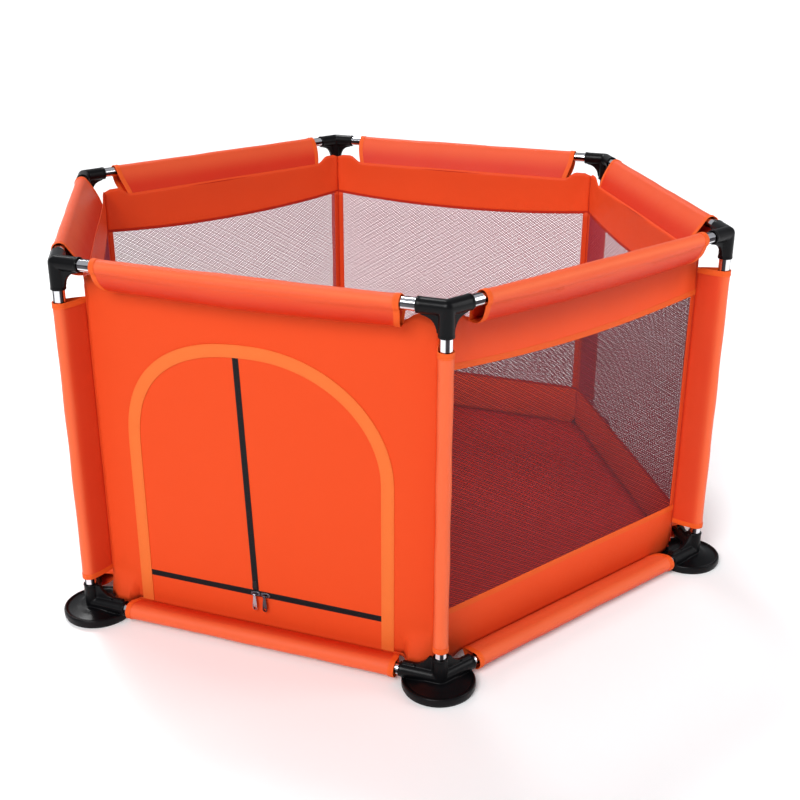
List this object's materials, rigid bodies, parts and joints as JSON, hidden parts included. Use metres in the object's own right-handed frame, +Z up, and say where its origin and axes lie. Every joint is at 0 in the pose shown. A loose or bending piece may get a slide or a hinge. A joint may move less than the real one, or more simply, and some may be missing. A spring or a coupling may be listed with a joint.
{
  "type": "playpen",
  "caption": "Hexagonal fabric playpen on a knock-down steel tube frame with round feet, net side windows and an arched zip door.",
  "frame": {"origin": "on the floor at the middle of the pen", "axes": "+Z up; -Y out through the middle of the door panel; +X to the right when facing the door from outside, along the longest size between two opposite corners"},
  "size_m": [1.398, 1.2268, 0.6583],
  "materials": {
    "orange_fabric": "coated polyester, plain weave",
    "orange_net_panel": "coated polyester bands round a dark polyester net window",
    "binding_fabric": "sewn binding tape, lighter orange",
    "floor_fabric": "coated polyester floor sheet",
    "black_plastic": "injection moulded, glossy",
    "black_rubber": "matt anti-slip rubber",
    "polished_steel": "polished stainless steel tube",
    "zinc_alloy": "plated die-cast zinc"
  },
  "bodies": {
    "pen": {"top_connector_1": "black_plastic", "top_connector_2": "black_plastic", "top_connector_3": "black_plastic", "top_connector_4": "black_plastic", "top_connector_5": "black_plastic", "top_connector_6": "black_plastic", "foot_connector_1": "black_plastic", "foot_connector_2": "black_plastic", "foot_connector_3": "black_plastic", "foot_connector_4": "black_plastic", "foot_connector_5": "black_plastic", "foot_connector_6": "black_plastic", "foot_pad_1": "black_rubber", "foot_pad_2": "black_rubber", "foot_pad_3": "black_rubber", "foot_pad_4": "black_rubber", "foot_pad_5": "black_rubber", "foot_pad_6": "black_rubber", "top_rail_1": "polished_steel", "top_rail_2": "polished_steel", "top_rail_3": "polished_steel", "top_rail_4": "polished_steel", "top_rail_5": "polished_steel", "top_rail_6": "polished_steel", "bottom_rail_1": "polished_steel", "bottom_rail_2": "polished_steel", "bottom_rail_3": "polished_steel", "bottom_rail_4": "polished_steel", "bottom_rail_5": "polished_steel", "bottom_rail_6": "polished_steel", "post_1": "polished_steel", "post_2": "polished_steel", "post_3": "polished_steel", "post_4": "polished_steel", "post_5": "polished_steel", "post_6": "polished_steel", "post_sleeve_1": "orange_fabric", "post_sleeve_2": "orange_fabric", "post_sleeve_3": "orange_fabric", "post_sleeve_4": "orange_fabric", "post_sleeve_5": "orange_fabric", "post_sleeve_6": "orange_fabric", "door_panel": "orange_fabric", "mesh_panel_2": "orange_net_panel", "mesh_panel_3": "orange_net_panel", "mesh_panel_4": "orange_net_panel", "mesh_panel_5": "orange_net_panel", "mesh_panel_6": "orange_net_panel", "floor_sheet": "floor_fabric", "door_arch_binding": "binding_fabric"},
    "flap_left": {"door_flap_left": "orange_fabric"},
    "flap_right": {"door_flap_right": "orange_fabric"},
    "slider_left": {"zip_slider_left": "zinc_alloy"},
    "pull_left": {"zip_pull_left": "zinc_alloy"},
    "slider_right": {"zip_slider_right": "zinc_alloy"},
    "pull_right": {"zip_pull_right": "zinc_alloy"},
    "slider_upright": {"zip_slider_upright": "zinc_alloy"},
    "pull_upright": {"zip_pull_upright": "zinc_alloy"}
  },
  "joints": [
    {"name": "slider_left_slide", "type": "slide", "parent": "pen", "child": "slider_left", "axis": [-1, 0, 0], "range_m": [0, 0.178]},
    {"name": "slider_right_slide", "type": "slide", "parent": "pen", "child": "slider_right", "axis": [1, 0, 0], "range_m": [0, 0.186]},
    {"name": "slider_upright_slide", "type": "slide", "parent": "pen", "child": "slider_upright", "axis": [-0.0401, 0, 0.9992], "range_m": [0, 0.386]},
    {"name": "pull_left_swing", "type": "hinge", "parent": "slider_left", "child": "pull_left", "pos_m": [-0.0193, -0.53032, 0.084], "axis": [-1, 0, 0], "range_deg": [-5, 165]},
    {"name": "pull_right_swing", "type": "hinge", "parent": "slider_right", "child": "pull_right", "pos_m": [-0.0007, -0.53032, 0.084], "axis": [-1, 0, 0], "range_deg": [-5, 165]},
    {"name": "pull_upright_swing", "type": "hinge", "parent": "slider_upright", "child": "pull_upright", "pos_m": [-0.01964, -0.51752, 0.1], "axis": [1, 0, 0], "range_deg": [-5, 165]},
    {"name": "flap_left_fold", "type": "hinge", "parent": "pen", "child": "flap_left", "pos_m": [-0.22, -0.52472, 0.084], "axis": [-0.3981, 0, -0.9173], "range_deg": [0, 150]},
    {"name": "flap_right_fold", "type": "hinge", "parent": "pen", "child": "flap_right", "pos_m": [0.208, -0.52472, 0.084], "axis": [-0.4988, 0, 0.8667], "range_deg": [0, 150]}
  ]
}
